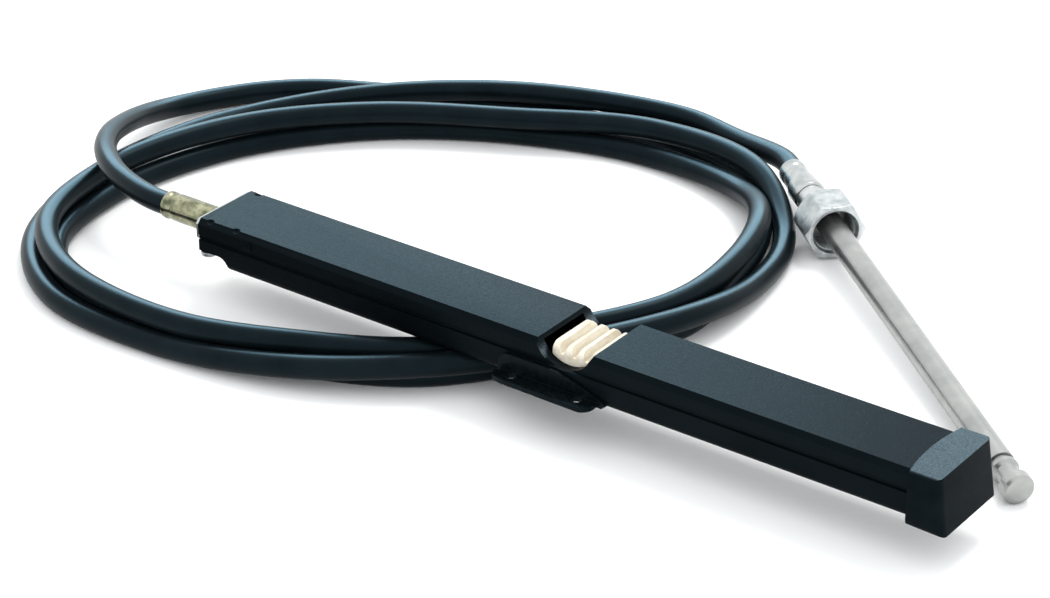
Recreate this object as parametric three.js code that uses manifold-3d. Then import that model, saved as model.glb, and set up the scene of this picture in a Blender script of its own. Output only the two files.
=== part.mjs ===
// Boat steering cable: a straight rack housing with its sliding gear rack, a long jacketed cable
// laid in loops, and an output end with ferrule, coupling nut and sliding ram. Units are mm, +Z is
// up. The origin is on the housing's flat underside, at the middle of the rack assembly's length;
// +X runs from the cable end to the end cap and -Y is the bracket side.
import * as THREE from "three";
import { mergeVertices } from "three/addons/utils/BufferGeometryUtils.js";
import Module from "manifold-3d";

const wasm = await Module();
wasm.setup();

// Driving dimensions
const CLEARANCE = 0.3;
const CABLE_OD = 14.3;
const PITCH = CABLE_OD + CLEARANCE;
const STROKE = 228.6;

// rack housing
const ASSEMBLY_LENGTH = 500;
const HOUSING_WIDTH = 51;
const HOUSING_HEIGHT = 27.5;
const TOP_WIDTH = 45;
const SHOULDER_DROP = 3;
const GROOVE_TOP = 17.9;
const GROOVE_BOTTOM = 14.3;
const GROOVE_DEPTH = 1.5;
const BOTTOM_RADIUS = 4;
const CAVITY_WIDTH = 37;
const CAVITY_FLOOR = 4.5;
const CAVITY_ROOF = 24.9;
const END_NOTCH_LENGTH = 19.2;
const END_NOTCH_HEIGHT = 7.5;

// pinion window
const WINDOW_CENTRE_X = 16.5;
const WINDOW_CENTRE_Z = 33.5;
const WINDOW_RADIUS = 19.5;

// gear rack
const RACK_START = 4.4;
const RACK_END = 242;
const RACK_TIP_DROP = 3;
const TOOTH_PITCH = 7.98;
const TOOTH_DEPTH = 5.7;
const TOOTH_LAND = 2.2;
const TOOTH_ROOT = 1.8;
const RACK_EDGE_RADIUS = 5;

// end cap
const CAP_WIDTH = 58;
const CAP_LENGTH = 17;
const CAP_PROUD = 1.3;
const CAP_BELOW = 3.4;
const CAP_END_WALL = 4;
const CAP_BULGE = 3.5;

// cable end of the rack
const END_PLATE_THICKNESS = 2;
const END_BLOCK_LENGTH = 20.7;
const RACK_AXIS_Z = 13.75;
const RACK_FERRULE_OD = 17;
const RACK_FERRULE_OUT = 44.6;
const RACK_FERRULE_IN = 10;
const FERRULE_SOCKET = 10;
const SIDE_PLUG_OD = 5.6;
const SIDE_PLUG_INSET = 38.7;
const SIDE_PLUG_Z = 21.2;
const END_SCREW_OD = 9.6;
const END_SCREW_SHANK_OD = 3.4;
const END_SCREW_INSET = 4.7;

// mounting bracket
const BRACKET_START = -26;
const BRACKET_FLANGE_END = 41;
const BRACKET_TIP = 47;
const BRACKET_REACH = 12.7;
const BRACKET_THICKNESS = 3;
const BRACKET_WEB_THICKNESS = 2;
const BRACKET_WEB_HEIGHT = 13.5;
const BRACKET_HOLE_OD = 6;
const BRACKET_HOLE_X = [-14, 30];
const BRACKET_HOLE_Y = -31.2;

// output end, measured along its own axis from the ferrule's cable end
const OUTPUT_START = [-35.2, 294.2];
const OUTPUT_HEADING = [0.7726, -0.635];
const OUTPUT_START_HEIGHT = 22;
const OUTPUT_FALL = 0.0345;
const OUTPUT_FERRULE_OD = 17.4;
const OUTPUT_FERRULE_HEAD_OD = 20.4;
const OUTPUT_FERRULE_STEP = 20;
const OUTPUT_FERRULE_END = 37;
const HUB_STEM_OD = 17.6;
const HUB_FLANGE_OD = 25;
const HUB_FLANGE_THICKNESS = 3;
const NUT_BACK = 57;
const NUT_FRONT = 84;
const NUT_ACROSS_FLATS = 34.5;
const NUT_BORE = 27.5;
const NUT_BACK_WALL = 4;
const NUT_THREADS = 5;
const RAM_OD = 15.9;
const RAM_BORE = 10.4;
const RAM_END_S = 349;
const GUIDE_OD = 9.6;
const GUIDE_END_S = 340;
const RAM_NECK_OD = 13;
const RAM_HEAD_OD = 18;
const RAM_HEAD_LENGTH = 9;
const RAM_HEAD_END_S = 375.5;

// Values that follow from them
const FLOOR = -(CABLE_OD + 0.75 * PITCH + CLEARANCE);
const STRAND_Z = FLOOR + CABLE_OD / 2;
const X_LEFT = -ASSEMBLY_LENGTH / 2;
const X_RIGHT = ASSEMBLY_LENGTH / 2;
const HOUSING_START = X_LEFT + END_PLATE_THICKNESS + CLEARANCE;
const HOUSING_END = X_RIGHT - CAP_END_WALL - CLEARANCE;
const HALF = HOUSING_WIDTH / 2;
const SIDE_PLUG_X = HOUSING_START + SIDE_PLUG_INSET;
const END_SCREW_X = HOUSING_START + END_SCREW_INSET;
const END_SCREW_Y = -(HOUSING_WIDTH + CAVITY_WIDTH) / 4;
const RACK_FLOOR = CAVITY_FLOOR + CLEARANCE;
const RACK_TIP = HOUSING_HEIGHT - RACK_TIP_DROP;
const RACK_WIDTH = CAVITY_WIDTH - 2 * CLEARANCE - 0.4;

// The cable's lay
// Innermost line of the loops, clockwise seen from above, sixteen places to the turn.
const STATIONS = [
  [-380, 37], [-376, 92], [-354, 152], [-304, 214],
  [-229, 261], [-139, 285], [-59, 276], [-17, 232],
  [-3.5, 172], [-0.7, 103], [-52, 16], [-87.5, -25.5],
  [-140.4, -56.6], [-217, -76], [-305.8, -70.1], [-361.3, -29.8],
];

// From the rack ferrule's mouth round the far left: x, y and the height of the centre over the floor.
const LEAD_IN = [
  [-284.9, 0, 39.3], [-306, 0.2, 39.3], [-328, 5, 39.3], [-349, 13, 39.3], [-368, 25, 38.7],
  [-386, 41, 36.6], [-402, 62, 33], [-416, 88, 26.5], [-429, 122, 17.5],
  [-433, 156, 10], [-417, 199, 7.15], [-385, 235, 7.15],
];

// Round the loops: station, distance outward and height over the floor strands, both in PITCH.
const LOOPS = [
  [3, 4.05, 0], [4, 2.66, 0], [5, 1.8, 0], [6, 0.6, 0],
  [7, -0.12, 0], [8, 0.28, 0], [9, 0.59, 0], [10, 0.65, 0],
  [11, 0.62, 0], [12, 0.3, 0], [13, 0, 0], [14, 0, 0],
  [15, 0, 0], [0, 0, 0], [1, 0, 0], [2, 0, 0],
  [3, 0, 0], [4, 0, 0], [5, 0, 0], [6, -0.5, 0.38],
  [7, -0.16, 1.02], [8, 0.38, 1.01], [9, 0.15, 0.92], [10, 0, 0.75],
  [11, -0.05, 0.76], [12, 0.3, 1], [13, 0.5, 0.87], [14, 0.35, 0.95],
  [15, 0.35, 0.95], [0, 0.5, 0.88], [1, 0.3, 0.98], [2, 0, 1.02],
  [3, -0.3, 0.97], [4, -0.43, 0.95], [5, 0.65, 1], [6, 0.55, 1.04],
  [7, 0.92, 0.1], [8, 1.38, 0.14], [9, 1.22, 0.8], [10, 1.32, 0.75],
  [11, 1.27, 0.76], [12, 1.32, 0.5], [13, 1, 0.02], [14, 1.07, 0],
  [15, 1.02, 0], [0, 1.6, 0], [1, 2.2, 0], [2, 2.9, 0],
  [3, 2.97, 0.4], [4, 2.35, 1], [5, 3, 0.75],
];

// Past the loops towards the output ferrule: x, y and height as above.
const LEAD_OUT = [
  [-93, 321, 17.5],
];

// Distances before the ferrule's mouth where the cable already lies on its axis.
const STRAIGHT_OUT = [15, -FERRULE_SOCKET + 2 * CLEARANCE];

// Helpers
function closedOutward(geometry) {
  const bare = geometry.index ? geometry.toNonIndexed() : geometry.clone();
  bare.deleteAttribute("normal");
  bare.deleteAttribute("uv");
  const merged = mergeVertices(bare, 1e-4);
  const position = merged.attributes.position;
  const index = merged.index.array;
  const a = new THREE.Vector3();
  const b = new THREE.Vector3();
  const c = new THREE.Vector3();
  let volume = 0;
  const kept = [];
  for (let i = 0; i < index.length; i += 3) {
    if (index[i] === index[i + 1] || index[i + 1] === index[i + 2] || index[i] === index[i + 2]) {
      continue;
    }
    a.fromBufferAttribute(position, index[i]);
    b.fromBufferAttribute(position, index[i + 1]);
    c.fromBufferAttribute(position, index[i + 2]);
    volume += a.dot(b.cross(c));
    kept.push(index[i], index[i + 1], index[i + 2]);
  }
  if (volume < 0) {
    for (let i = 0; i < kept.length; i += 3) {
      const swap = kept[i + 1];
      kept[i + 1] = kept[i + 2];
      kept[i + 2] = swap;
    }
  }
  merged.setIndex(kept);
  return merged;
}

function solid(geometry) {
  const closed = closedOutward(geometry);
  const vertProperties = new Float32Array(closed.attributes.position.array);
  const triVerts = new Uint32Array(closed.index.array);
  return new wasm.Manifold(new wasm.Mesh({ numProp: 3, vertProperties, triVerts }));
}

function geometryOf(manifold) {
  const mesh = manifold.getMesh();
  const geometry = new THREE.BufferGeometry();
  geometry.setAttribute("position", new THREE.BufferAttribute(new Float32Array(mesh.vertProperties), 3));
  geometry.setIndex(new THREE.BufferAttribute(new Uint32Array(mesh.triVerts), 1));
  return geometry;
}

function shapeOf(points) {
  return new THREE.Shape(points.map(([a, b]) => new THREE.Vector2(a, b)));
}

function placed(geometry, first, second, third, origin) {
  const matrix = new THREE.Matrix4();
  matrix.makeBasis(first, second, third);
  matrix.setPosition(origin);
  geometry.applyMatrix4(matrix);
  return geometry;
}

const EX = new THREE.Vector3(1, 0, 0);
const EY = new THREE.Vector3(0, 1, 0);
const EZ = new THREE.Vector3(0, 0, 1);

// A (Y, Z) outline carried along X.
function alongX(shape, x0, x1) {
  const geometry = new THREE.ExtrudeGeometry(shape, { depth: x1 - x0, bevelEnabled: false });
  return solid(placed(geometry, EY, EZ, EX, new THREE.Vector3(x0, 0, 0)));
}

// An (X, Z) outline carried along -Y from y1 down to y0.
function alongY(shape, y0, y1) {
  const geometry = new THREE.ExtrudeGeometry(shape, { depth: y1 - y0, bevelEnabled: false });
  return solid(placed(geometry, EX, EZ, EY.clone().negate(), new THREE.Vector3(0, y1, 0)));
}

// An (X, Y) outline carried along Z.
function alongZ(shape, z0, z1) {
  const geometry = new THREE.ExtrudeGeometry(shape, { depth: z1 - z0, bevelEnabled: false });
  return solid(placed(geometry, EX, EY, EZ, new THREE.Vector3(0, 0, z0)));
}

// Points of a circular arc, angles in degrees.
function arc(cx, cy, radius, from, to, steps) {
  const points = [];
  for (let i = 0; i <= steps; i += 1) {
    const angle = THREE.MathUtils.degToRad(from + (to - from) * (i / steps));
    points.push([cx + radius * Math.cos(angle), cy + radius * Math.sin(angle)]);
  }
  return points;
}

function rod(radius, from, to, sides) {
  const start = new THREE.Vector3(...from);
  const along = new THREE.Vector3(...to).sub(start);
  const geometry = new THREE.CylinderGeometry(radius, radius, along.length(), sides);
  geometry.translate(0, along.length() / 2, 0);
  geometry.applyQuaternion(new THREE.Quaternion().setFromUnitVectors(EY, along.normalize()));
  geometry.translate(start.x, start.y, start.z);
  return solid(geometry);
}

// A turned body: (radius, distance along the axis) outline, closed back to its first point.
function turned(outline, sides, start, direction) {
  const points = outline.map(([r, s]) => new THREE.Vector2(r, s));
  points.push(points[0].clone());
  const geometry = new THREE.LatheGeometry(points, sides);
  geometry.applyQuaternion(new THREE.Quaternion().setFromUnitVectors(EY, direction));
  geometry.translate(start.x, start.y, start.z);
  return solid(geometry);
}

const group = new THREE.Group();
group.name = "boat_steering_cable";

function add(name, geometry, color, roughness, metalness) {
  const material = new THREE.MeshStandardMaterial({ color, roughness, metalness });
  const mesh = new THREE.Mesh(geometry, material);
  mesh.name = name;
  group.add(mesh);
}

// Rack housing
function housingOutline(grow, grooved) {
  const half = HALF + grow;
  const top = HOUSING_HEIGHT + grow;
  const topHalf = TOP_WIDTH / 2 + grow * 0.5;
  const radius = BOTTOM_RADIUS;
  const right = [
    ...arc(half - radius, radius - grow, radius, -90, 0, 5),
    ...(grooved ? [
      [half, GROOVE_BOTTOM],
      [half - GROOVE_DEPTH, GROOVE_BOTTOM + 0.4],
      [half - GROOVE_DEPTH, GROOVE_TOP - 0.4],
      [half, GROOVE_TOP],
    ] : []),
    [half, HOUSING_HEIGHT - SHOULDER_DROP],
    [topHalf, top],
  ];
  const left = right.map(([y, z]) => [-y, z]).reverse();
  return [...right, ...left];
}

const cavity = [
  [-CAVITY_WIDTH / 2, CAVITY_FLOOR],
  [CAVITY_WIDTH / 2, CAVITY_FLOOR],
  [CAVITY_WIDTH / 2, CAVITY_ROOF],
  [-CAVITY_WIDTH / 2, CAVITY_ROOF],
];
let housing = alongX(shapeOf(housingOutline(0, true)), HOUSING_START, HOUSING_END);
housing = housing.subtract(alongX(shapeOf(cavity), HOUSING_START - 1, HOUSING_END + 1));
const windowAxisStart = [WINDOW_CENTRE_X, -HALF - 5, WINDOW_CENTRE_Z];
const windowAxisEnd = [WINDOW_CENTRE_X, HALF + 5, WINDOW_CENTRE_Z];
housing = housing.subtract(rod(WINDOW_RADIUS, windowAxisStart, windowAxisEnd, 72));
const notchEnd = HOUSING_START + END_NOTCH_LENGTH;
const notch = [
  [HOUSING_START - 2, -2],
  [notchEnd + 3, -2],
  ...arc(notchEnd - 4.5, 0, END_NOTCH_HEIGHT, 0, 90, 6),
  [HOUSING_START - 2, END_NOTCH_HEIGHT],
];
housing = housing.subtract(alongY(shapeOf(notch), -HALF - 2, HALF + 2));
// staked dents on the near top edge and one on the far top edge
const topHalf = TOP_WIDTH / 2;
const DENTS = [
  [HOUSING_START + 7.7, -topHalf - 0.8],
  [HOUSING_START + 27.7, -topHalf - 0.8],
  [HOUSING_START + 6.7, topHalf - 0.6],
];
for (const [x, y] of DENTS) {
  const dent = new THREE.IcosahedronGeometry(3.2, 2);
  dent.translate(x, y, HOUSING_HEIGHT + 1.2);
  housing = housing.subtract(solid(dent));
}
housing = housing.subtract(rod(
  SIDE_PLUG_OD / 2 + CLEARANCE,
  [SIDE_PLUG_X, -HALF - 2, SIDE_PLUG_Z],
  [SIDE_PLUG_X, -CAVITY_WIDTH / 2 + 1, SIDE_PLUG_Z],
  24,
));
housing = housing.subtract(rod(
  END_SCREW_SHANK_OD / 2 + CLEARANCE,
  [END_SCREW_X, END_SCREW_Y, END_NOTCH_HEIGHT - 2],
  [END_SCREW_X, END_SCREW_Y, END_NOTCH_HEIGHT + 5],
  20,
));
add("housing", geometryOf(housing), 0x3b474f, 0.4, 0.6);

// Cable end of the rack
const blockHalf = CAVITY_WIDTH / 2 - CLEARANCE;
const blockOutline = [
  [-blockHalf, END_NOTCH_HEIGHT + CLEARANCE],
  [blockHalf, END_NOTCH_HEIGHT + CLEARANCE],
  [blockHalf, CAVITY_ROOF - CLEARANCE],
  [-blockHalf, CAVITY_ROOF - CLEARANCE],
];
let endBlock = alongX(shapeOf(blockOutline), HOUSING_START, HOUSING_START + END_BLOCK_LENGTH);
const rackAxisAt = (x) => [x, 0, RACK_AXIS_Z];
const ferruleInner = X_LEFT + END_PLATE_THICKNESS + RACK_FERRULE_IN;
endBlock = endBlock.subtract(rod(
  RACK_FERRULE_OD / 2 + CLEARANCE,
  rackAxisAt(HOUSING_START - 2),
  rackAxisAt(ferruleInner + CLEARANCE),
  40,
));
add("end_block", geometryOf(endBlock), 0x2a2d30, 0.55, 0.3);

const plateOutline = [
  [-14, 4], [14, 4], [24.5, 15], [24.5, 24], [22, 26.6],
  [-22, 26.6], [-24.5, 24], [-24.5, 15],
];
let endPlate = alongX(shapeOf(plateOutline), X_LEFT, X_LEFT + END_PLATE_THICKNESS);
endPlate = endPlate.subtract(rod(
  RACK_FERRULE_OD / 2 + CLEARANCE,
  rackAxisAt(X_LEFT - 2),
  rackAxisAt(X_LEFT + END_PLATE_THICKNESS + 2),
  40,
));
add("end_plate", geometryOf(endPlate), 0xb4b2a6, 0.35, 0.9);

const plugProud = 0.5;
const sidePlug = rod(
  SIDE_PLUG_OD / 2,
  [SIDE_PLUG_X, -HALF - plugProud, SIDE_PLUG_Z],
  [SIDE_PLUG_X, -CAVITY_WIDTH / 2 - CLEARANCE, SIDE_PLUG_Z],
  24,
);
add("side_plug", geometryOf(sidePlug), 0x2b2f33, 0.35, 0.8);

// pan-head screw driven up into the near side wall, its head under the raised end section
const screwRadius = END_SCREW_OD / 2;
const screwHeadHeight = 3.4;
const screwHeadTop = END_NOTCH_HEIGHT - CLEARANCE;
const screwOutline = [
  [0, 0],
  [screwRadius * 0.7, 0.2],
  [screwRadius, 1.2],
  [screwRadius, screwHeadHeight],
  [END_SCREW_SHANK_OD / 2, screwHeadHeight],
  [END_SCREW_SHANK_OD / 2, screwHeadHeight + 4.8],
  [0, screwHeadHeight + 4.8],
];
const screwStart = new THREE.Vector3(END_SCREW_X, END_SCREW_Y, screwHeadTop - screwHeadHeight);
const endScrew = turned(screwOutline, 24, screwStart, EZ);
add("end_screw", geometryOf(endScrew), 0x8d9094, 0.35, 0.9);

const ferruleRadius = RACK_FERRULE_OD / 2;
const cableRadius = CABLE_OD / 2;
const ferruleMouth = X_LEFT - RACK_FERRULE_OUT;
const ferruleLength = ferruleInner - ferruleMouth;
const rackFerruleOutline = [
  [0, FERRULE_SOCKET],
  [cableRadius + CLEARANCE, FERRULE_SOCKET],
  [cableRadius + CLEARANCE, 0],
  [ferruleRadius - 0.5, 0],
  [ferruleRadius, 0.8],
  [ferruleRadius, 3.2],
  [ferruleRadius - 0.5, 4],
  [ferruleRadius - 0.5, 7.5],
  [ferruleRadius, 8.3],
  [ferruleRadius, ferruleLength],
  [0, ferruleLength],
];
const rackFerrule = turned(rackFerruleOutline, 40, new THREE.Vector3(ferruleMouth, 0, RACK_AXIS_Z), EX);
add("rack_ferrule", geometryOf(rackFerrule), 0xb9ad86, 0.3, 0.9);

// Gear rack
const rackHalf = RACK_WIDTH / 2;
const rackOutline = [
  ...arc(rackHalf - 3, RACK_FLOOR + 3, 3, -90, 0, 4),
  ...arc(rackHalf - RACK_EDGE_RADIUS, RACK_TIP - RACK_EDGE_RADIUS, RACK_EDGE_RADIUS, 0, 90, 6),
  ...arc(-rackHalf + RACK_EDGE_RADIUS, RACK_TIP - RACK_EDGE_RADIUS, RACK_EDGE_RADIUS, 90, 180, 6),
  ...arc(-rackHalf + 3, RACK_FLOOR + 3, 3, 180, 270, 4),
];
const comb = [[RACK_START - 5, RACK_TIP + 5], [RACK_START - 5, RACK_TIP + 0.5]];
const toothTop = TOOTH_PITCH - TOOTH_LAND;
const firstGap = RACK_START + TOOTH_LAND + 1.6;
for (let x = firstGap; x + toothTop < RACK_END - 4; x += TOOTH_PITCH) {
  const lean = (toothTop - TOOTH_ROOT) / 2;
  const flare = lean * (0.5 / TOOTH_DEPTH);
  comb.push([x - flare, RACK_TIP + 0.5]);
  comb.push([x + lean, RACK_TIP - TOOTH_DEPTH]);
  comb.push([x + lean + TOOTH_ROOT, RACK_TIP - TOOTH_DEPTH]);
  comb.push([x + toothTop + flare, RACK_TIP + 0.5]);
}
comb.push([RACK_END + 5, RACK_TIP + 0.5], [RACK_END + 5, RACK_TIP + 5]);
let gearRack = alongX(shapeOf(rackOutline), RACK_START, RACK_END);
gearRack = gearRack.subtract(alongY(shapeOf(comb), -rackHalf - 2, rackHalf + 2));
add("gear_rack", geometryOf(gearRack), 0xe6ddc6, 0.4, 0);

// End cap
const capHalf = CAP_WIDTH / 2;
const capTop = HOUSING_HEIGHT + CAP_PROUD;
const capStart = X_RIGHT - CAP_LENGTH;
const bulge = [];
for (let i = 0; i <= 10; i += 1) {
  const y = capHalf - CAP_WIDTH * (i / 10);
  bulge.push([capStart - CAP_BULGE * (1 - (y / capHalf) ** 2), y]);
}
const capPlan = [
  ...arc(X_RIGHT - 6, -capHalf + 6, 6, -90, 0, 6),
  ...arc(X_RIGHT - 6, capHalf - 6, 6, 0, 90, 6),
  ...bulge,
];
const capSection = [
  ...arc(capHalf - 5, -CAP_BELOW + 5, 5, -90, 0, 5),
  ...arc(capHalf - 3, capTop - 3, 3, 0, 90, 5),
  ...arc(-capHalf + 3, capTop - 3, 3, 90, 180, 5),
  ...arc(-capHalf + 5, -CAP_BELOW + 5, 5, 180, 270, 5),
];
let endCap = alongZ(shapeOf(capPlan), -CAP_BELOW - 1, capTop + 1);
endCap = endCap.intersect(alongX(shapeOf(capSection), capStart - 10, X_RIGHT + 1));
const pocket = alongX(shapeOf(housingOutline(CLEARANCE, false)), capStart - 10, X_RIGHT - CAP_END_WALL);
endCap = endCap.subtract(pocket);
add("end_cap", geometryOf(endCap), 0x35393c, 0.6, 0);

// Mounting bracket
const webOuter = -HALF - CLEARANCE - BRACKET_WEB_THICKNESS;
const webInner = -HALF - CLEARANCE;
const flangeEdge = -HALF - BRACKET_REACH;
const flange = [
  [BRACKET_START + 3, webInner],
  [BRACKET_START + 3, webInner - 3],
  ...arc(BRACKET_START + 6, flangeEdge + 7, 6, 170, 250, 4),
  [BRACKET_START + 10, flangeEdge + 0.6],
  [BRACKET_FLANGE_END - 12, flangeEdge],
  ...arc(BRACKET_FLANGE_END - 7, flangeEdge + 7, 7, -90, 0, 5),
  [BRACKET_FLANGE_END, webInner],
];
const web = [
  [BRACKET_START, 0],
  [BRACKET_TIP - 3, 0],
  [BRACKET_TIP, 2.5],
  [BRACKET_TIP - 6, 5.4],
  [BRACKET_FLANGE_END - 12, 9.5],
  [BRACKET_FLANGE_END - 27, BRACKET_WEB_HEIGHT - 0.5],
  [BRACKET_FLANGE_END - 36, BRACKET_WEB_HEIGHT],
  ...arc(BRACKET_START + 7.5, BRACKET_WEB_HEIGHT - 7.5, 7.5, 90, 180, 5),
];
let bracket = alongZ(shapeOf(flange), 0, BRACKET_THICKNESS);
bracket = bracket.add(alongY(shapeOf(web), webOuter, webInner));
for (const x of BRACKET_HOLE_X) {
  bracket = bracket.subtract(rod(
    BRACKET_HOLE_OD / 2,
    [x, BRACKET_HOLE_Y, -1],
    [x, BRACKET_HOLE_Y, BRACKET_WEB_HEIGHT + 1],
    28,
  ));
}
add("bracket", geometryOf(bracket), 0x17191b, 0.45, 0.5);

// Output end
const outputOrigin = new THREE.Vector3(OUTPUT_START[0], OUTPUT_START[1], FLOOR + OUTPUT_START_HEIGHT);
const outputAxis = new THREE.Vector3(OUTPUT_HEADING[0], OUTPUT_HEADING[1], -OUTPUT_FALL).normalize();
const outputAt = (s) => outputOrigin.clone().addScaledVector(outputAxis, s);

function turnedOutput(outline, sides) {
  return turned(outline, sides, outputOrigin, outputAxis);
}

const smallRadius = OUTPUT_FERRULE_OD / 2;
const bigRadius = OUTPUT_FERRULE_HEAD_OD / 2;
const outputFerrule = turnedOutput([
  [0, FERRULE_SOCKET],
  [cableRadius + CLEARANCE, FERRULE_SOCKET],
  [cableRadius + CLEARANCE, 0],
  [smallRadius - 0.4, 0],
  [smallRadius, 0.8],
  [smallRadius, 6],
  [smallRadius - 0.6, 7],
  [smallRadius - 0.6, 9.5],
  [smallRadius, 10.5],
  [smallRadius, OUTPUT_FERRULE_STEP],
  [bigRadius, OUTPUT_FERRULE_STEP + 2],
  [bigRadius, OUTPUT_FERRULE_END - 1],
  [bigRadius - 1, OUTPUT_FERRULE_END],
  [0, OUTPUT_FERRULE_END],
], 40);
add("output_ferrule", geometryOf(outputFerrule), 0xb9bcbe, 0.28, 0.95);

const stemRadius = HUB_STEM_OD / 2;
const flangeStart = NUT_BACK + NUT_BACK_WALL + CLEARANCE;
const flangeEnd = flangeStart + HUB_FLANGE_THICKNESS;
const hub = turnedOutput([
  [0, OUTPUT_FERRULE_END + CLEARANCE],
  [stemRadius, OUTPUT_FERRULE_END + CLEARANCE],
  [stemRadius, flangeStart],
  [HUB_FLANGE_OD / 2, flangeStart],
  [HUB_FLANGE_OD / 2, flangeEnd],
  [GUIDE_OD / 2, flangeEnd],
  [GUIDE_OD / 2, GUIDE_END_S],
  [0, GUIDE_END_S],
], 40);
add("output_hub", geometryOf(hub), 0x9b9ea0, 0.35, 0.9);

// hexagonal nut lying on one of its flats, with thread rings inside
const hexRadius = NUT_ACROSS_FLATS / Math.sqrt(3);
const hexShape = [];
for (let i = 0; i < 6; i += 1) {
  const angle = THREE.MathUtils.degToRad(60 * i);
  hexShape.push([hexRadius * Math.cos(angle), hexRadius * Math.sin(angle)]);
}
const outputSide = new THREE.Vector3().crossVectors(EZ, outputAxis).normalize();
const outputUp = new THREE.Vector3().crossVectors(outputAxis, outputSide);
const hexBody = new THREE.ExtrudeGeometry(shapeOf(hexShape), { depth: NUT_FRONT - NUT_BACK, bevelEnabled: false });
placed(hexBody, outputSide, outputUp, outputAxis, outputAt(NUT_BACK));
const chamferRadius = NUT_ACROSS_FLATS / 2 - 0.4;
const outerTurn = turnedOutput([
  [0, NUT_BACK],
  [chamferRadius, NUT_BACK],
  [hexRadius + 0.2, NUT_BACK + 2],
  [hexRadius + 0.2, NUT_FRONT - 2],
  [chamferRadius, NUT_FRONT],
  [0, NUT_FRONT],
], 60);
const boreRadius = NUT_BORE / 2;
const boreStart = NUT_BACK + NUT_BACK_WALL;
const threadPitch = (NUT_FRONT - 2 - boreStart - 4) / NUT_THREADS;
const boreOutline = [[0, boreStart], [boreRadius, boreStart], [boreRadius, boreStart + 4]];
for (let i = 0; i < NUT_THREADS; i += 1) {
  const s = boreStart + 4 + i * threadPitch;
  boreOutline.push([boreRadius - 0.9, s + threadPitch * 0.45]);
  boreOutline.push([boreRadius, s + threadPitch * 0.95]);
}
boreOutline.push([boreRadius + 0.9, NUT_FRONT], [boreRadius + 0.9, NUT_FRONT + 2], [0, NUT_FRONT + 2]);
let nut = solid(hexBody).intersect(outerTurn);
nut = nut.subtract(turnedOutput(boreOutline, 48));
nut = nut.subtract(turnedOutput([
  [0, NUT_BACK - 2],
  [stemRadius + CLEARANCE, NUT_BACK - 2],
  [stemRadius + CLEARANCE, boreStart + 1],
  [0, boreStart + 1],
], 40));
add("coupling_nut", geometryOf(nut), 0x9ea0a0, 0.38, 0.9);

const ramStart = flangeEnd + CLEARANCE;
const ram = turnedOutput([
  [RAM_BORE / 2, ramStart],
  [RAM_OD / 2 - 0.5, ramStart],
  [RAM_OD / 2, ramStart + 0.5],
  [RAM_OD / 2, RAM_END_S],
  [0, RAM_END_S],
  [0, GUIDE_END_S + 2],
  [RAM_BORE / 2, GUIDE_END_S + 2],
], 40);
add("ram", geometryOf(ram), 0xb8bbbc, 0.3, 1);

const headStart = RAM_HEAD_END_S - RAM_HEAD_LENGTH;
const ramEndStart = RAM_END_S + CLEARANCE;
const ramEnd = turnedOutput([
  [0, ramEndStart],
  [RAM_OD / 2 - 1.2, ramEndStart],
  [RAM_OD / 2 - 1.2, ramEndStart + 3],
  [RAM_OD / 2, ramEndStart + 3.4],
  [RAM_OD / 2, ramEndStart + 6],
  [RAM_NECK_OD / 2, ramEndStart + 8],
  [RAM_NECK_OD / 2, headStart],
  [RAM_HEAD_OD / 2 - 1, headStart],
  [RAM_HEAD_OD / 2, headStart + 1.2],
  [RAM_HEAD_OD / 2, RAM_HEAD_END_S - 2],
  [RAM_HEAD_OD / 2 - 1.4, RAM_HEAD_END_S - 0.5],
  [RAM_HEAD_OD / 2 - 3, RAM_HEAD_END_S],
  [0, RAM_HEAD_END_S],
], 40);
add("ram_end", geometryOf(ramEnd), 0xaeb0b0, 0.3, 1);

// Cable
function stationNormal(k) {
  const before = STATIONS[(k + 15) % 16];
  const after = STATIONS[(k + 1) % 16];
  const tangent = new THREE.Vector2(after[0] - before[0], after[1] - before[1]).normalize();
  return new THREE.Vector2(-tangent.y, tangent.x);
}

const route = [];
for (const [x, y, height] of LEAD_IN) {
  route.push(new THREE.Vector3(x, y, FLOOR + height));
}
for (const [k, out, up] of LOOPS) {
  const normal = stationNormal(k);
  route.push(new THREE.Vector3(
    STATIONS[k][0] + normal.x * out * PITCH,
    STATIONS[k][1] + normal.y * out * PITCH,
    STRAND_Z + up * PITCH,
  ));
}
for (const [x, y, height] of LEAD_OUT) {
  route.push(new THREE.Vector3(x, y, FLOOR + height));
}
for (const back of STRAIGHT_OUT) {
  route.push(outputAt(-back));
}
const smooth = new THREE.CatmullRomCurve3(route, false, "centripetal");

// One ring at every route point, and one halfway along each span of the tight left-hand turns.
const TIGHT = [14, 15, 0];
const ringAt = [];
for (let i = 0; i < route.length - 1; i += 1) {
  ringAt.push(i);
  const loopIndex = i - LEAD_IN.length;
  if (loopIndex >= 0 && loopIndex < LOOPS.length && TIGHT.includes(LOOPS[loopIndex][0])) {
    ringAt.push(i + 0.5);
  }
}
ringAt.push(route.length - 1);

class RingCurve extends THREE.Curve {
  parameter(u) {
    return ringAt[Math.round(u * (ringAt.length - 1))] / (route.length - 1);
  }

  getPoint(u, target) {
    return smooth.getPoint(this.parameter(u), target);
  }

  getPointAt(u, target) {
    return smooth.getPoint(this.parameter(u), target);
  }

  getTangentAt(u, target) {
    return smooth.getTangent(this.parameter(u), target);
  }
}

const ringSides = 10;
const ringShape = shapeOf(arc(0, 0, cableRadius, 0, 360 - 360 / ringSides, ringSides - 1));
const cable = new THREE.ExtrudeGeometry(ringShape, {
  extrudePath: new RingCurve(),
  steps: ringAt.length - 1,
  bevelEnabled: false,
});
add("cable", closedOutward(cable), 0x1f2326, 0.5, 0);

export default group;
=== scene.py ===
"""Boat steering cable: rack housing, coiled cable and output ram, in metres, +Z up."""

import math

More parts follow.
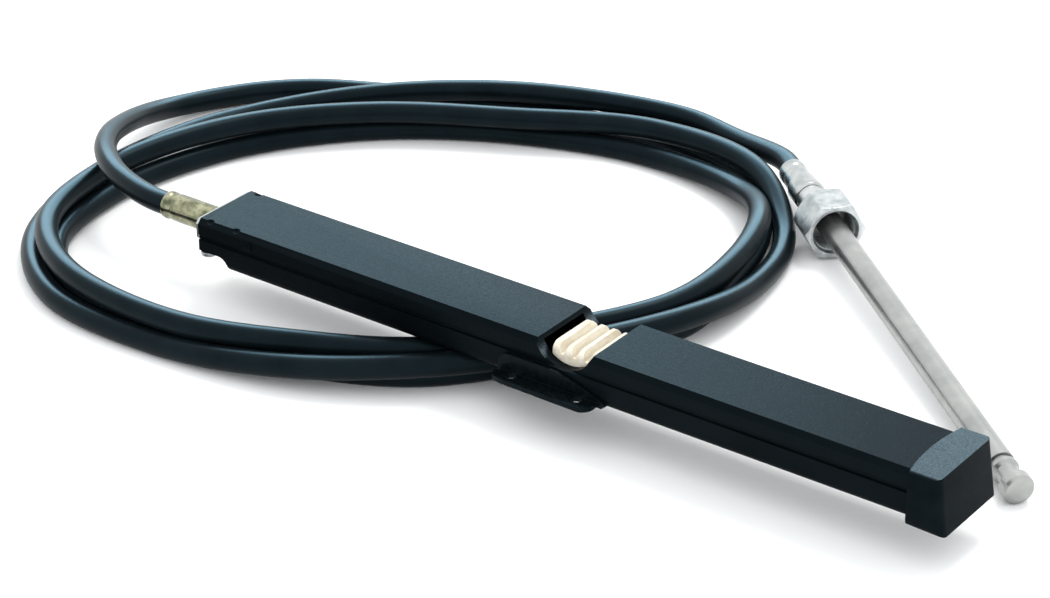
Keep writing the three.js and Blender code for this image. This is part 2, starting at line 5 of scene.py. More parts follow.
import bmesh
import bpy
import numpy as np
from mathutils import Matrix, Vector


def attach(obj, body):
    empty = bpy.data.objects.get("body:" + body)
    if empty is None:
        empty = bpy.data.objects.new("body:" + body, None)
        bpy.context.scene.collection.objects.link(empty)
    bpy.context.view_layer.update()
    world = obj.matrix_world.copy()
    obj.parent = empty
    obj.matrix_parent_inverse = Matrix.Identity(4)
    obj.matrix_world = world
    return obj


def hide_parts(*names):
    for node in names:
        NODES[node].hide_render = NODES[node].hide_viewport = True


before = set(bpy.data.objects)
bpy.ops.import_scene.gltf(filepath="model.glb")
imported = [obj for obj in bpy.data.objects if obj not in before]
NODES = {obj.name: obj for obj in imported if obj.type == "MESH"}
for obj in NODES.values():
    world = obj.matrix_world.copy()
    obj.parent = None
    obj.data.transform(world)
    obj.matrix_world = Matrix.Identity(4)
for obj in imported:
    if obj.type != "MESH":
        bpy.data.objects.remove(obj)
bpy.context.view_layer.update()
MM = 0.001

# Shared sizes, in metres
CABLE_OD = 14.3 * MM
CLEARANCE = 0.3 * MM
PITCH = CABLE_OD + CLEARANCE
FLOOR = -(CABLE_OD + 0.75 * PITCH + CLEARANCE)
STRAND_Z = FLOOR + CABLE_OD / 2

OUTPUT_ORIGIN = np.array([-35.2 * MM, 294.2 * MM, FLOOR + 22 * MM])
OUTPUT_AXIS = np.array([0.7726, -0.635, -0.0345])
OUTPUT_AXIS = OUTPUT_AXIS / np.linalg.norm(OUTPUT_AXIS)

# Camera
CAMERA_DISTANCE = 1.578
CAMERA_ELEVATION = math.radians(28.0)
CAMERA_TURN = math.radians(36.4)
AIM_U, AIM_V = -22.1 * MM, 126.7 * MM
FOCAL_PIXELS = 3000.0
PHOTO_WIDTH = 1050.0
SENSOR_WIDTH = 36.0


def on_floor(u, v):
    """A floor point from distances right of the aim (u) and away from the camera (v)."""
    x = (u + AIM_U) * math.cos(CAMERA_TURN) - (v + AIM_V) * math.sin(CAMERA_TURN)
    y = (u + AIM_U) * math.sin(CAMERA_TURN) + (v + AIM_V) * math.cos(CAMERA_TURN)
    return Vector((x, y, FLOOR))


def make_camera():
    """The camera of the photo, at the fitted distance and height, turned to the aim."""
    camera = bpy.data.cameras.new("photo_camera")
    camera.lens = FOCAL_PIXELS * SENSOR_WIDTH / PHOTO_WIDTH
    camera.sensor_width = SENSOR_WIDTH
    camera.sensor_fit = "HORIZONTAL"
    camera.clip_start = 0.05
    camera.clip_end = 60.0
    body = bpy.data.objects.new("photo_camera", camera)
    bpy.context.scene.collection.objects.link(body)
    height = CAMERA_DISTANCE * math.tan(CAMERA_ELEVATION)
    body.location = on_floor(0.0, -CAMERA_DISTANCE) + Vector((0, 0, height))
    look = on_floor(0.0, 0.0) - body.location
    body.rotation_euler = look.to_track_quat("-Z", "Y").to_euler()
    bpy.context.scene.camera = body


make_camera()

# Mesh helpers
MERGE_DISTANCE = 0.001 * MM
FLAT_ANGLE = math.radians(1.0)


def link(name, vertices, faces, crease_angle=35.0):
    """Puts vertex and face arrays into a new object at the origin.

    It is smooth, but for the edges that are sharper than the crease angle, in degrees.
    """
    mesh = bpy.data.meshes.new(name)
    mesh.from_pydata(np.asarray(vertices, float).tolist(), [], faces)
    mesh.validate()
    mesh.polygons.foreach_set("use_smooth", np.ones(len(mesh.polygons), bool))
    mesh.set_sharp_from_angle(angle=math.radians(crease_angle))
    piece = bpy.data.objects.new(name, mesh)
    bpy.context.scene.collection.objects.link(piece)
    return piece


def ring_faces(rows, sides, joined):
    """Quads between neighbouring rings; joined closes the last ring back onto the first."""
    last = rows if joined else rows - 1
    i = np.arange(last)[:, None]
    j = np.arange(sides)[None, :]
    below = i * sides
    above = ((i + 1) % rows) * sides
    beside = (j + 1) % sides
    quads = np.stack([below + j, below + beside, above + beside, above + j], axis=-1)
    return quads.reshape(-1, 4).tolist()


def axis_frame(axis):
    """Two directions square to an axis, the first one level."""
    side = np.cross([0.0, 0.0, 1.0], axis)
    side = side / np.linalg.norm(side)
    return side, np.cross(axis, side)


def turned_rows(radius, along, origin, axis):
    """Rings round an axis, from radius and along, two arrays of rows x angles.

    Point(row, angle) = origin + along * axis + radius * (cos angle * side + sin angle * up).
    """
    side, up = axis_frame(axis)
    angle = np.linspace(0, 2 * np.pi, radius.shape[1], endpoint=False)[None, :, None]
    spoke = np.cos(angle) * side + np.sin(angle) * up
    return origin + along[..., None] * axis + radius[..., None] * spoke


def capped_piece(name, points, start, end, crease_angle):
    """Rings of points, rows x angles x 3, closed by fans of triangles to a start and an end point."""
    rows, sides = points.shape[:2]
    vertices = np.vstack([points.reshape(-1, 3), start, end])
    j = np.arange(sides)
    k = (j + 1) % sides
    top = (rows - 1) * sides
    start_at = np.full(sides, rows * sides)
    faces = ring_faces(rows, sides, False)
    faces += np.stack([k, j, start_at], axis=-1).tolist()
    faces += np.stack([top + j, top + k, start_at + 1], axis=-1).tolist()
    piece = link(name, vertices, faces, crease_angle)
    face_out(piece)
    return piece


def turned_piece(name, outline, origin, axis, sides=96, crease_angle=35.0):
    """A closed outline of (radius, distance along) in mm, carried round the axis.

    Point(row, angle) is that of turned_rows, and the first and last point lie on the axis.
    """
    outline = np.array(outline, float) * MM
    inner = outline[1:-1]
    radius = np.repeat(inner[:, :1], sides, axis=1)
    along = np.repeat(inner[:, 1:], sides, axis=1)
    points = turned_rows(radius, along, origin, axis)
    start = origin + axis * outline[0, 1]
    end = origin + axis * outline[-1, 1]
    return capped_piece(name, points, start, end, crease_angle)


def face_out(piece):
    """Turns every face round when the signed volume, the sum of the corner tetrahedra, is negative."""
    mesh = piece.data
    mesh.calc_loop_triangles()
    corners = np.zeros(len(mesh.vertices) * 3)
    mesh.vertices.foreach_get("co", corners)
    corners = corners.reshape(-1, 3)
    triangles = np.zeros(len(mesh.loop_triangles) * 3, np.int32)
    mesh.loop_triangles.foreach_get("vertices", triangles)
    a, b, c = (corners[triangles.reshape(-1, 3)[:, i]] for i in range(3))
    if np.einsum("ij,ij->i", a, np.cross(b, c)).sum() < 0:
        mesh.flip_normals()


def rounded(outline, width, steps=3):
    """Each inner corner of an open outline is replaced by a curve of that width.

    Point(t) = (1 - t)^2 * start + 2 t (1 - t) * corner + t^2 * stop, with start and stop on its legs.
    """
    outline = [np.array(p, float) for p in outline]
    result = [outline[0]]
    for before, corner, after in zip(outline[:-2], outline[1:-1], outline[2:]):
        back = before - corner
        on = after - corner
        reach = min(width, 0.45 * np.linalg.norm(back), 0.45 * np.linalg.norm(on))
        start = corner + back / np.linalg.norm(back) * reach
        stop = corner + on / np.linalg.norm(on) * reach
        for t in np.linspace(0, 1, steps + 1):
            result.append((1 - t) ** 2 * start + 2 * t * (1 - t) * corner + t ** 2 * stop)
    result.append(outline[-1])
    return result


def softened(node, width, segments=3, angle=28.0):
    """A copy of a CAD node with its edges rounded off.

    Its loose triangles are merged and its flat faces joined before that.
    """
    cad = NODES[node]
    mesh = cad.data.copy()
    mesh.name = node + "_finish"
    mesh.materials.clear()
    work = bmesh.new()
    work.from_mesh(mesh)
    bmesh.ops.remove_doubles(work, verts=work.verts, dist=MERGE_DISTANCE)
    bmesh.ops.dissolve_limit(work, angle_limit=FLAT_ANGLE, verts=work.verts, edges=work.edges)
    work.to_mesh(mesh)
    work.free()
    mesh.polygons.foreach_set("use_smooth", np.ones(len(mesh.polygons), bool))
    mesh.set_sharp_from_angle(angle=math.radians(angle))
    piece = bpy.data.objects.new(node + "_finish", mesh)
    bpy.context.scene.collection.objects.link(piece)
    bevel = piece.modifiers.new("edge_rounding", "BEVEL")
    bevel.width = width
    bevel.segments = segments
    bevel.limit_method = "ANGLE"
    bevel.angle_limit = math.radians(angle)
    bevel.use_clamp_overlap = True
    bevel.harden_normals = True
    return piece


def flare(piece, start, length, top, drop, reach, widen):
    """Moves x out by reach * along * down, and y away from the middle by widen * along * down.

    along = (x - start) / length and down = (top - z) / drop, both held to 0..1.
    """
    mesh = piece.data
    points = np.zeros(len(mesh.vertices) * 3)
    mesh.vertices.foreach_get("co", points)
    points = points.reshape(-1, 3)
    along = np.clip((points[:, 0] - start) / length, 0, 1)
    down = np.clip((top - points[:, 2]) / drop, 0, 1)
    points[:, 0] += reach * along * down
    points[:, 1] += widen * np.sign(points[:, 1]) * along * down
    mesh.vertices.foreach_set("co", points.ravel())
    mesh.update()


def settle(piece, node, body, material):
    """The piece stands for the CAD node, moves with its body and takes the material."""
    piece.data.materials.clear()
    piece.data.materials.append(material)
    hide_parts(node)
    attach(piece, body)


# Materials
NOISE_LOW, NOISE_HIGH = 0.3, 0.7
COOL_TINT = (0.5, 0.84, 1.0, 1)


def surface(name):
    """A new material with its nodes, its links and its main shader."""
    material = bpy.data.materials.new(name)
    material.use_nodes = True
    nodes = material.node_tree.nodes
    return material, nodes, material.node_tree.links, nodes["Principled BSDF"]


def place(nodes, links, scale=(1, 1, 1), attribute=None):
    """Object coordinates, or a stored vector attribute, stretched by scale."""
    if attribute:
        source = nodes.new("ShaderNodeAttribute")
        source.attribute_name = attribute
        out = source.outputs["Vector"]
    else:
        source = nodes.new("ShaderNodeTexCoord")
        out = source.outputs["Object"]
    mapping = nodes.new("ShaderNodeMapping")
    mapping.inputs["Scale"].default_value = scale
    links.new(out, mapping.inputs["Vector"])
    return mapping.outputs["Vector"]


def cloud(nodes, links, vector, scale, detail, rough=0.55):
    """Fractal noise over a vector."""
    noise = nodes.new("ShaderNodeTexNoise")
    noise.inputs["Scale"].default_value = scale
    noise.inputs["Detail"].default_value = detail
    noise.inputs["Roughness"].default_value = rough
    links.new(vector, noise.inputs["Vector"])
    return noise.outputs["Fac"]


def spread(nodes, links, value, out_low, out_high, low=NOISE_LOW, high=NOISE_HIGH):
    """Linear map of a value from [low, high] to [out_low, out_high], held at its ends."""
    remap = nodes.new("ShaderNodeMapRange")
    remap.inputs["From Min"].default_value = low
    remap.inputs["From Max"].default_value = high
    remap.inputs["To Min"].default_value = out_low
    remap.inputs["To Max"].default_value = out_high
    links.new(value, remap.inputs["Value"])
    return remap.outputs["Result"]


def tint(nodes, links, factor, first, second):
    """Mix of two colours by a factor."""
    mix = nodes.new("ShaderNodeMix")
    mix.data_type = "RGBA"
    mix.inputs[6].default_value = (*first, 1)
    mix.inputs[7].default_value = (*second, 1)
    links.new(factor, mix.inputs[0])
    return mix.outputs[2]


def base_colour(nodes, links, shader, noise, dark, light, low=NOISE_LOW, high=NOISE_HIGH):
    """The base colour goes from dark to light where the noise goes from low to high."""
    factor = spread(nodes, links, noise, 0.0, 1.0, low, high)
    links.new(tint(nodes, links, factor, dark, light), shader.inputs["Base Color"])


def roughness(nodes, links, shader, noise, smooth, rough):
    """The roughness goes from smooth to rough with the noise."""
    links.new(spread(nodes, links, noise, smooth, rough), shader.inputs["Roughness"])


def cool_sheen(shader, index):
    """A weak gloss with a cool tint, from a low index of refraction."""
    shader.inputs["IOR"].default_value = index
    shader.inputs["Specular Tint"].default_value = COOL_TINT


def summed(nodes, links, first, second):
    """The sum of two values."""
    both = nodes.new("ShaderNodeMath")
    both.operation = "ADD"
    links.new(first, both.inputs[0])
    links.new(second, both.inputs[1])
    return both.outputs[0]


def relief(nodes, links, shader, height, distance, strength):
    """Small bumps in the shading, from a height times a distance in metres."""
    bump = nodes.new("ShaderNodeBump")
    bump.inputs["Distance"].default_value = distance
    bump.inputs["Strength"].default_value = strength
    links.new(height, bump.inputs["Height"])
    links.new(bump.outputs["Normal"], shader.inputs["Normal"])


def black_satin():
    """Black finish of the housing: near-black with a cool cast, fine grain and lengthwise drawing lines."""
    material, nodes, links, shader = surface("black_satin")
    grain = cloud(nodes, links, place(nodes, links), 900.0, 3.0, 0.6)
    patches = cloud(nodes, links, place(nodes, links, (0.6, 1, 1)), 22.0, 4.0)
    drawn = cloud(nodes, links, place(nodes, links, (3.0, 600.0, 600.0)), 1.0, 3.0)
    base_colour(nodes, links, shader, patches, (0.0012, 0.002, 0.0026), (0.0026, 0.0042, 0.0052))
    roughness(nodes, links, shader, grain, 0.26, 0.4)
    cool_sheen(shader, 1.11)
    grain_height = spread(nodes, links, grain, 0.0, 0.9)
    drawn_height = spread(nodes, links, drawn, 0.0, 0.8)
    relief(nodes, links, shader, summed(nodes, links, grain_height, drawn_height), 0.07 * MM, 0.6)
    return material


def black_gloss():
    """Glossy black paint of the bracket."""
    material, nodes, links, shader = surface("black_gloss")
    peel = cloud(nodes, links, place(nodes, links), 260.0, 2.0)
    base_colour(nodes, links, shader, peel, (0.0015, 0.0025, 0.003), (0.003, 0.005, 0.006))
    roughness(nodes, links, shader, peel, 0.2, 0.32)
    cool_sheen(shader, 1.14)
    relief(nodes, links, shader, peel, 0.06 * MM, 0.3)
    return material


def jacket_plastic():
    """Black jacket of the cable: matte plastic with faint lengthwise flow lines and fine pits."""
    material, nodes, links, shader = surface("jacket_plastic")
    flow = cloud(nodes, links, place(nodes, links, (2.0, 70.0, 1.0), "lay"), 1.0, 3.0)
    pits = cloud(nodes, links, place(nodes, links), 1500.0, 2.0, 0.7)
    patches = cloud(nodes, links, place(nodes, links), 35.0, 3.0)
    base_colour(nodes, links, shader, patches, (0.002, 0.0035, 0.0045), (0.004, 0.007, 0.009))
    roughness(nodes, links, shader, flow, 0.28, 0.4)
    cool_sheen(shader, 1.18)
    flow_height = spread(nodes, links, flow, 0.0, 0.5, 0.2, 0.8)
    pit_height = spread(nodes, links, pits, 0.0, 0.5, 0.2, 0.8)
    relief(nodes, links, shader, summed(nodes, links, flow_height, pit_height), 0.05 * MM, 0.4)
    return material


def cream_plastic():
    """Glossy cream plastic of the rack, a little translucent, with faint moulding marks."""
    material, nodes, links, shader = surface("cream_plastic")
    marks = cloud(nodes, links, place(nodes, links, (1, 0.25, 1)), 240.0, 3.0)
    base_colour(nodes, links, shader, marks, (0.6, 0.53, 0.41), (0.76, 0.72, 0.62))
    roughness(nodes, links, shader, marks, 0.22, 0.34)
    shader.inputs["Subsurface Weight"].default_value = 0.25
    shader.inputs["Subsurface Radius"].default_value = (0.004, 0.003, 0.002)
    shader.inputs["Subsurface Scale"].default_value = 0.5
    relief(nodes, links, shader, marks, 0.08 * MM, 0.3)
    return material


def grained_plastic():
    """Finely textured dark plastic of the end cap."""
    material, nodes, links, shader = surface("grained_plastic")
    grain = cloud(nodes, links, place(nodes, links), 1400.0, 3.0, 0.65)
    patches = cloud(nodes, links, place(nodes, links), 60.0, 3.0)
    base_colour(nodes, links, shader, patches, (0.002, 0.0035, 0.0045), (0.0045, 0.007, 0.0085))
    roughness(nodes, links, shader, grain, 0.42, 0.6)
    cool_sheen(shader, 1.1)
    relief(nodes, links, shader, grain, 0.05 * MM, 0.5)
    return material


def dark_moulding():
    """Plain dark moulded plastic inside the cable end."""
    material, nodes, links, shader = surface("dark_moulding")
    grain = cloud(nodes, links, place(nodes, links), 500.0, 3.0)
    base_colour(nodes, links, shader, grain, (0.01, 0.012, 0.014), (0.018, 0.021, 0.024))
    roughness(nodes, links, shader, grain, 0.45, 0.6)
    relief(nodes, links, shader, grain, 0.08 * MM, 0.4)
    return material


def metal(name, dark, light, smooth, rough, stretch, scale=80.0, depth=0.02 * MM):
    """Bare or plated metal: two close colours in patches, and tool marks stretched by stretch."""
    material, nodes, links, shader = surface(name)
    patches = cloud(nodes, links, place(nodes, links), scale, 4.0)
    marks = cloud(nodes, links, place(nodes, links, stretch), 1.0, 3.0)
    base_colour(nodes, links, shader, patches, dark, light, 0.35, 0.65)
    roughness(nodes, links, shader, marks, smooth, rough)
    shader.inputs["Metallic"].default_value = 1.0
    relief(nodes, links, shader, marks, depth, 0.4)
    return material


BLACK_SATIN = black_satin()
BLACK_GLOSS = black_gloss()
JACKET = jacket_plastic()
CREAM = cream_plastic()
GRAINED = grained_plastic()
MOULDING = dark_moulding()
ZINC = metal("zinc_plate", (0.4, 0.42, 0.41), (0.55, 0.56, 0.54), 0.28, 0.42, (300, 300, 40))
# Yellow zinc of the rack ferrule: its wide dark and light patches are partly the plating's own mottle and
# partly painted reflections of the dark cable and the surroundings.
YELLOW_ZINC_PAINTED_REFLECTIONS = metal(
    "yellow_zinc", (0.09, 0.1, 0.06), (0.4, 0.39, 0.26), 0.12, 0.3, (40, 500, 500), scale=140.0,
)
BRIGHT = metal("bright_sleeve", (0.34, 0.36, 0.36), (0.52, 0.53, 0.52), 0.2, 0.34, (300, 300, 300))
HUB_STEEL = metal("hub_steel", (0.42, 0.43, 0.43), (0.55, 0.56, 0.56), 0.3, 0.42, (300, 300, 300))
NUT_STEEL = metal(
    "nut_steel", (0.36, 0.39, 0.4), (0.56, 0.58, 0.58), 0.25, 0.42, (260, 260, 260),
    scale=160.0, depth=0.05 * MM,
)
RAM_STEEL = metal(
    "ram_steel", (0.3, 0.31, 0.3), (0.38, 0.38, 0.37), 0.28, 0.4, (500, 500, 500), scale=60.0,
)

# Cable
CABLE_SIDES = 36
CABLE_STEP = 5.5 * MM
SPAN_POINTS = 24

# stations round the coil, x and y
STATIONS = np.array([
    [-380, 37], [-376, 92], [-354, 152], [-304, 214],
    [-229, 261], [-139, 285], [-59, 276], [-17, 232],
    [-3.5, 172], [-0.7, 103], [-52, 16], [-87.5, -25.5],
    [-140.4, -56.6], [-217, -76], [-305.8, -70.1], [-361.3, -29.8],
]) * MM

# from the rack to the loops, x, y and height over the floor
LEAD_IN = np.array([
    [-284.9, 0, 39.3], [-306, 0.2, 39.3], [-328, 5, 39.3], [-349, 13, 39.3], [-368, 25, 38.7],
    [-386, 41, 36.6], [-402, 62, 33], [-416, 88, 26.5], [-429, 122, 17.5],
    [-433, 156, 10], [-417, 199, 7.15], [-385, 235, 7.15],
]) * MM

# station, distance outward and height over the floor strands, both counted in PITCH
LOOPS = np.array([
    [3, 4.05, 0], [4, 2.66, 0], [5, 1.8, 0], [6, 0.6, 0],
    [7, -0.12, 0], [8, 0.28, 0], [9, 0.59, 0], [10, 0.65, 0],
    [11, 0.62, 0], [12, 0.3, 0], [13, 0, 0], [14, 0, 0],
    [15, 0, 0], [0, 0, 0], [1, 0, 0], [2, 0, 0],
    [3, 0, 0], [4, 0, 0], [5, 0, 0], [6, -0.5, 0.38],
    [7, -0.16, 1.02], [8, 0.38, 1.01], [9, 0.15, 0.92], [10, 0, 0.75],
    [11, -0.05, 0.76], [12, 0.3, 1], [13, 0.5, 0.87], [14, 0.35, 0.95],
    [15, 0.35, 0.95], [0, 0.5, 0.88], [1, 0.3, 0.98], [2, 0, 1.02],
    [3, -0.3, 0.97], [4, -0.43, 0.95], [5, 0.65, 1], [6, 0.55, 1.04],
    [7, 0.92, 0.1], [8, 1.38, 0.14], [9, 1.22, 0.8], [10, 1.32, 0.75],
    [11, 1.27, 0.76], [12, 1.32, 0.5], [13, 1, 0.02], [14, 1.07, 0],
    [15, 1.02, 0], [0, 1.6, 0], [1, 2.2, 0], [2, 2.9, 0],
    [3, 2.97, 0.4], [4, 2.35, 1], [5, 3, 0.75],
])

# one point before the output sleeve, then two distances back along its axis, the second inside it
LEAD_OUT = np.array([[-93, 321, 17.5]]) * MM
STRAIGHT_OUT = np.array([15, -9.4]) * MM


def route_points():
    """The points that the cable runs through.

    They are the lead-in, then station + outward normal * distance with its height, then the lead-out
    and two points on the output axis.
    """
    tangent = np.roll(STATIONS, -1, axis=0) - np.roll(STATIONS, 1, axis=0)
    tangent = tangent / np.linalg.norm(tangent, axis=1, keepdims=True)
    outward = np.stack([-tangent[:, 1], tangent[:, 0]], axis=1)
    station = LOOPS[:, 0].astype(int)
    level = STATIONS[station] + outward[station] * LOOPS[:, 1:2] * PITCH
    loops = np.column_stack([level, STRAND_Z + LOOPS[:, 2] * PITCH])
    rise = np.array([0, 0, FLOOR])
    straight = OUTPUT_ORIGIN - STRAIGHT_OUT[:, None] * OUTPUT_AXIS
    return np.vstack([LEAD_IN + rise, loops, LEAD_OUT + rise, straight])


def smooth_line(points, per_span):
    """Centripetal Catmull-Rom line through the points.

    Each span is a + b t + c t^2 + d t^3 between two points, and its slopes at both ends weigh the
    neighbouring points by the root of their distance.
    """
    first = 2 * points[0] - points[1]
    last = 2 * points[-1] - points[-2]
    padded = np.vstack([first, points, last])
    p0, p1, p2, p3 = padded[:-3], padded[1:-2], padded[2:-1], padded[3:]
    d0 = np.sqrt(np.linalg.norm(p1 - p0, axis=1, keepdims=True))
    d1 = np.sqrt(np.linalg.norm(p2 - p1, axis=1, keepdims=True))
    d2 = np.sqrt(np.linalg.norm(p3 - p2, axis=1, keepdims=True))
    m1 = ((p1 - p0) / d0 - (p2 - p0) / (d0 + d1) + (p2 - p1) / d1) * d1
    m2 = ((p2 - p1) / d1 - (p3 - p1) / (d1 + d2) + (p3 - p2) / d2) * d1
    t = np.linspace(0, 1, per_span, endpoint=False)[None, :, None]
    a, b = p1[:, None], m1[:, None]
    c = (3 * (p2 - p1) - 2 * m1 - m2)[:, None]
    d = (2 * (p1 - p2) + m1 + m2)[:, None]
    line = a + b * t + c * t ** 2 + d * t ** 3
    return np.vstack([line.reshape(-1, 3), points[-1]])


def even_line(line, step):
    """The same line with its points a fixed step apart."""
    gone = np.concatenate([[0], np.cumsum(np.linalg.norm(np.diff(line, axis=0), axis=1))])
    count = int(round(gone[-1] / step))
    at = np.linspace(0, gone[-1], count + 1)
    return np.stack([np.interp(at, gone, line[:, k]) for k in range(3)], axis=1), at


def tube_piece(name, line, at, radius, sides):
    """A round tube along a line, with distance and angle stored on it for its material.

    Point(i, angle) = line[i] + radius * (cos angle * side[i] + sin angle * up[i]), where side is level
    and square to the line.
    """
    tangent = np.gradient(line, axis=0)
    tangent = tangent / np.linalg.norm(tangent, axis=1, keepdims=True)
    side = np.cross([0.0, 0.0, 1.0], tangent)
    side = side / np.linalg.norm(side, axis=1, keepdims=True)
    up = np.cross(tangent, side)
    turn = np.linspace(0, 2 * np.pi, sides, endpoint=False)
    angle = turn[None, :, None]
    points = line[:, None] + radius * (np.cos(angle) * side[:, None] + np.sin(angle) * up[:, None])
    piece = capped_piece(name, points, line[0], line[-1], 60.0)
    rows = len(line)
    lay = np.zeros((len(piece.data.vertices), 3))
    lay[:rows * sides, 0] = np.repeat(at, sides)
    lay[:rows * sides, 1] = np.tile(np.cos(turn), rows)
    lay[:rows * sides, 2] = np.tile(np.sin(turn), rows)
    stored = piece.data.attributes.new("lay", "FLOAT_VECTOR", "POINT")
    stored.data.foreach_set("vector", lay.ravel())
    return piece


CABLE_LINE, CABLE_AT = even_line(smooth_line(route_points(), SPAN_POINTS), CABLE_STEP)
CABLE_LINE[:, 2] = np.maximum(CABLE_LINE[:, 2], STRAND_Z)
cable = tube_piece("cable_jacket", CABLE_LINE, CABLE_AT, CABLE_OD / 2, CABLE_SIDES)
settle(cable, "cable", "rack_housing", JACKET)

# Rack assembly
CAP_START = 233 * MM
CAP_LENGTH = 17 * MM
CAP_TOP = 28.8 * MM
CAP_DROP = 32 * MM
CAP_REACH = 5 * MM
CAP_WIDEN = 1 * MM

housing = softened("housing", 0.35 * MM)
end_cap = softened("end_cap", 0.8 * MM)
flare(end_cap, CAP_START, CAP_LENGTH, CAP_TOP, CAP_DROP, CAP_REACH, CAP_WIDEN)
bracket = softened("bracket", 0.5 * MM)
DARK_PIECES = [housing, bracket]
settle(housing, "housing", "rack_housing", BLACK_SATIN)
settle(end_cap, "end_cap", "rack_housing", GRAINED)
settle(softened("end_block", 0.3 * MM), "end_block", "rack_housing", MOULDING)
settle(softened("end_plate", 0.25 * MM), "end_plate", "rack_housing", ZINC)
settle(softened("side_plug", 0.3 * MM), "side_plug", "rack_housing", BLACK_GLOSS)
settle(softened("gear_rack", 0.35 * MM), "gear_rack", "rack", CREAM)
settle(bracket, "bracket", "rack_housing", BLACK_GLOSS)
settle(softened("end_screw", 0.3 * MM), "end_screw", "rack_housing", HUB_STEEL)

# The outlines of both sleeves are (radius, distance along) in mm. The cable ends in a bore 10 mm deep.
SLEEVE_BORE = CABLE_OD / MM / 2 + 0.3
SLEEVE_ROUNDING = 0.35
RACK_FERRULE_ORIGIN = np.array([-294.6, 0, 13.75]) * MM
RACK_FERRULE_AXIS = np.array([1.0, 0, 0])
RACK_FERRULE = [
    (0, 10), (SLEEVE_BORE, 10), (SLEEVE_BORE, 0), (8.0, 0), (8.5, 0.9), (8.5, 3.2), (8.0, 4.0),
    (8.0, 7.5), (8.5, 8.3), (8.5, 56.6), (0, 56.6),
]
rack_ferrule = turned_piece(
    "rack_ferrule_sleeve", rounded(RACK_FERRULE, SLEEVE_ROUNDING), RACK_FERRULE_ORIGIN, RACK_FERRULE_AXIS,
)
settle(rack_ferrule, "rack_ferrule", "rack_housing", YELLOW_ZINC_PAINTED_REFLECTIONS)

# Output end
OUTPUT_FERRULE = [
    (0, 10), (SLEEVE_BORE, 10), (SLEEVE_BORE, 0), (8.3, 0), (8.7, 0.8), (8.7, 6), (8.1, 7), (8.1, 9.5),
    (8.7, 10.5), (8.7, 20), (10.2, 22), (10.2, 36), (9.2, 37), (0, 37),
]
output_ferrule = turned_piece(
    "output_ferrule_sleeve", rounded(OUTPUT_FERRULE, SLEEVE_ROUNDING), OUTPUT_ORIGIN, OUTPUT_AXIS,
)
settle(output_ferrule, "output_ferrule", "rack_housing", BRIGHT)


def plain_finish(node, material):
    """The CAD node is shown as it is, with the material on it."""
    NODES[node].data.materials.clear()
    NODES[node].data.materials.append(material)
    return NODES[node]


output_hub = plain_finish("output_hub", HUB_STEEL)
ram = plain_finish("ram", RAM_STEEL)
ram_end = plain_finish("ram_end", RAM_STEEL)


# The nut's sizes are in mm, its distances counted along the output axis.
NUT_SIDES = 288
NUT_BACK = 57.0
NUT_FRONT = 84.0
NUT_FLAT = 17.25
NUT_POWER = 90
NUT_BLEND = 6.0
NUT_NECK = 9.1
NUT_FLOOR = 61.0
NUT_BORE = 13.75
NUT_FACE = (15.9, 14.9)
CHAMFER_AT = [57, 61.5, 81.8, 84]
CHAMFER_RADIUS = [15.6, 20.4, 20.4, 16.7]
MOUTH_AT = [61, 82, 83.2, 84]
MOUTH_RADIUS = [NUT_BORE, NUT_BORE, 14.3, 14.7]
THREAD_START = 65.5
THREAD_END = 82.0
THREAD_PHASE = 65.0
THREAD_PITCH = 2.1
THREAD_DEPTH = 0.95
THREAD_FADE = 1.5


def thread(at, angle):
    """Depth = thread depth * fade * ridge, a triangle wave of (at - phase) / pitch + angle / full turn."""
    phase = (at - THREAD_PHASE) / THREAD_PITCH + angle / (2 * np.pi)
    ridge = np.abs((phase % 1.0) * 2 - 1)
    fade_out = np.clip((THREAD_END - at) / THREAD_FADE, 0, 1)
    fade_in = np.clip((at - THREAD_START) / THREAD_FADE, 0, 1)
    return THREAD_DEPTH * fade_out * fade_in * ridge


def nut_piece():
    """Rings round the output axis, first the outside and then the bore.

    Outside, radius = the blended smaller of a hexagon, flat / (sum over the six faces of
    cos(angle - face)^power)^(1 / power), and of the turned chamfer. Inside, radius = mouth - thread.
    """
    angle = np.linspace(0, 2 * np.pi, NUT_SIDES, endpoint=False)[None, :]
    faces_at = np.radians(30 + 60 * np.arange(6))[:, None]
    reach = np.clip(np.cos(angle - faces_at), 0, None)
    hexagon = NUT_FLAT / (reach ** NUT_POWER).sum(axis=0, keepdims=True) ** (1 / NUT_POWER)
    outer_s = np.concatenate([np.linspace(57, 60, 10), np.linspace(61, 80, 5), np.linspace(81, 84, 10)])
    outer_s = outer_s[:, None]
    chamfer = np.interp(outer_s, CHAMFER_AT, CHAMFER_RADIUS)
    outer = -np.log(np.exp(-NUT_BLEND * hexagon) + np.exp(-NUT_BLEND * chamfer)) / NUT_BLEND
    inner_s = np.concatenate([[83.8, 83.3, 82.6], np.linspace(82, 65.5, 80), [64.5, 61.2, 61.0]])
    inner_s = inner_s[:, None]
    bore = np.interp(inner_s, MOUTH_AT, MOUTH_RADIUS) - thread(inner_s, angle)
    ring = np.ones((1, NUT_SIDES))
    rows = [
        (NUT_NECK * ring, np.array([[NUT_BACK]])),
        (outer, outer_s),
        (NUT_FACE[0] * ring, np.array([[NUT_FRONT]])),
        (NUT_FACE[1] * ring, np.array([[NUT_FRONT]])),
        (bore, inner_s),
        (NUT_NECK * ring, np.array([[NUT_FLOOR]])),
    ]
    radius = np.vstack([row for row, _ in rows]) * MM
    along = np.vstack([np.repeat(at, NUT_SIDES, axis=1) for _, at in rows]) * MM
    points = turned_rows(radius, along, OUTPUT_ORIGIN, OUTPUT_AXIS)
    faces = ring_faces(len(radius), NUT_SIDES, True)
    piece = link("coupling_nut_body", points.reshape(-1, 3), faces, 32.0)
    face_out(piece)
    return piece


coupling_nut = nut_piece()
settle(coupling_nut, "coupling_nut", "nut", NUT_STEEL)

# Floor and light
FLOOR_HALF = 6.0
COOL_LIGHT = (0.5, 0.82, 1.0)


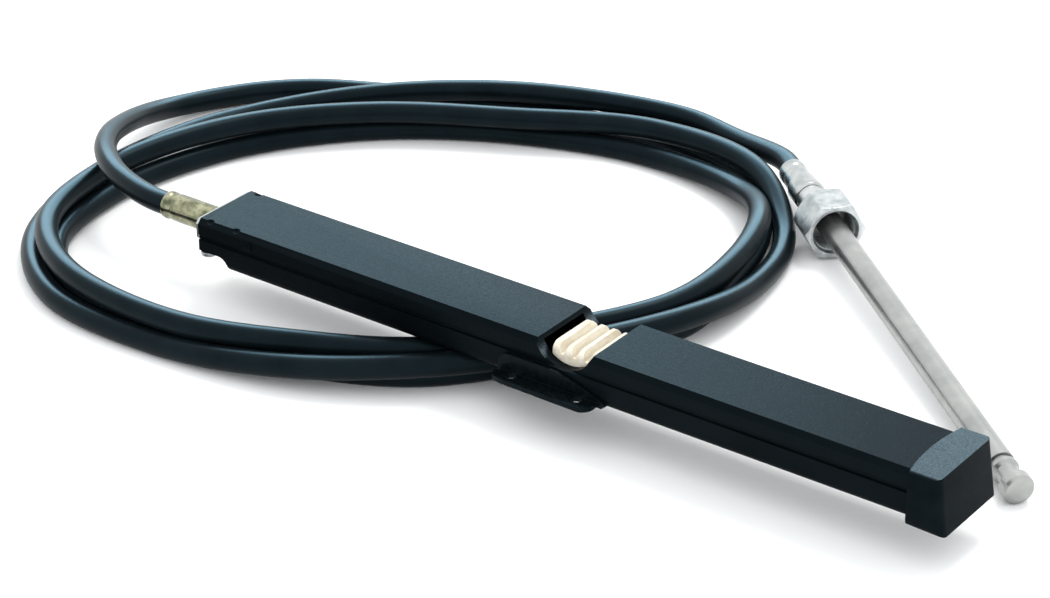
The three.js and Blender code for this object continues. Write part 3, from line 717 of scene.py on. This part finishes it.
def stage_floor():
    """White paper under the part, for the picture only."""
    reach = [(-1, -1), (1, -1), (1, 1), (-1, 1)]
    corners = [(FLOOR_HALF * x, FLOOR_HALF * y, FLOOR) for x, y in reach]
    mesh = bpy.data.meshes.new("studio_floor")
    mesh.from_pydata(corners, [], [(0, 1, 2, 3)])
    floor = bpy.data.objects.new("studio_floor", mesh)
    bpy.context.scene.collection.objects.link(floor)
    material, _, _, shader = surface("studio_paper")
    shader.inputs["Base Color"].default_value = (0.93, 0.93, 0.93, 1)
    shader.inputs["Roughness"].default_value = 0.9
    shader.inputs["Specular IOR Level"].default_value = 0.1
    mesh.materials.append(material)


def panel(name, u, v, height, size, power, colour, pieces=()):
    """A soft light panel over floor point (u, v), turned towards the aim.

    Where pieces are given, it lights only those, and only their gloss shows it.
    """
    light = bpy.data.lights.new(name, "AREA")
    light.shape = "RECTANGLE"
    light.size, light.size_y = size
    light.energy = power
    light.color = colour
    body = bpy.data.objects.new(name, light)
    body.location = on_floor(u, v) + Vector((0, 0, height))
    look = on_floor(0.0, 0.0) - body.location
    body.rotation_euler = look.to_track_quat("-Z", "Y").to_euler()
    bpy.context.scene.collection.objects.link(body)
    if pieces:
        shown = bpy.data.collections.new(name + "_pieces")
        for piece in pieces:
            shown.objects.link(piece)
        body.light_linking.receiver_collection = shown
        body.visible_diffuse = False


def studio_light():
    """An even white surround, four panels for the sheen of the black pieces and one from above."""
    world = bpy.data.worlds.new("studio_world")
    world.use_nodes = True
    background = world.node_tree.nodes["Background"]
    background.inputs["Color"].default_value = (0.97, 0.99, 1.0, 1)
    background.inputs["Strength"].default_value = 1.5
    bpy.context.scene.world = world
    panel("back_panel", -0.7, 2.6, 1.7, (2.6, 1.6), 105, COOL_LIGHT, DARK_PIECES)
    panel("cable_panel", -0.2, 2.6, 1.7, (3.4, 1.6), 300, COOL_LIGHT, [cable])
    panel("cap_panel", 0.9, 2.6, 1.5, (1.6, 1.4), 380, (0.62, 0.86, 1.0), [end_cap])
    panel("edge_panel", 2.6, 0.9, 1.5, (0.9, 0.9), 200, (0.9, 0.97, 1.0), DARK_PIECES)
    panel("top_panel", 0.7, 0.8, 2.2, (0.8, 0.7), 22, (1.0, 0.99, 0.97))


stage_floor()
studio_light()
bpy.context.scene.view_settings.view_transform = "Standard"
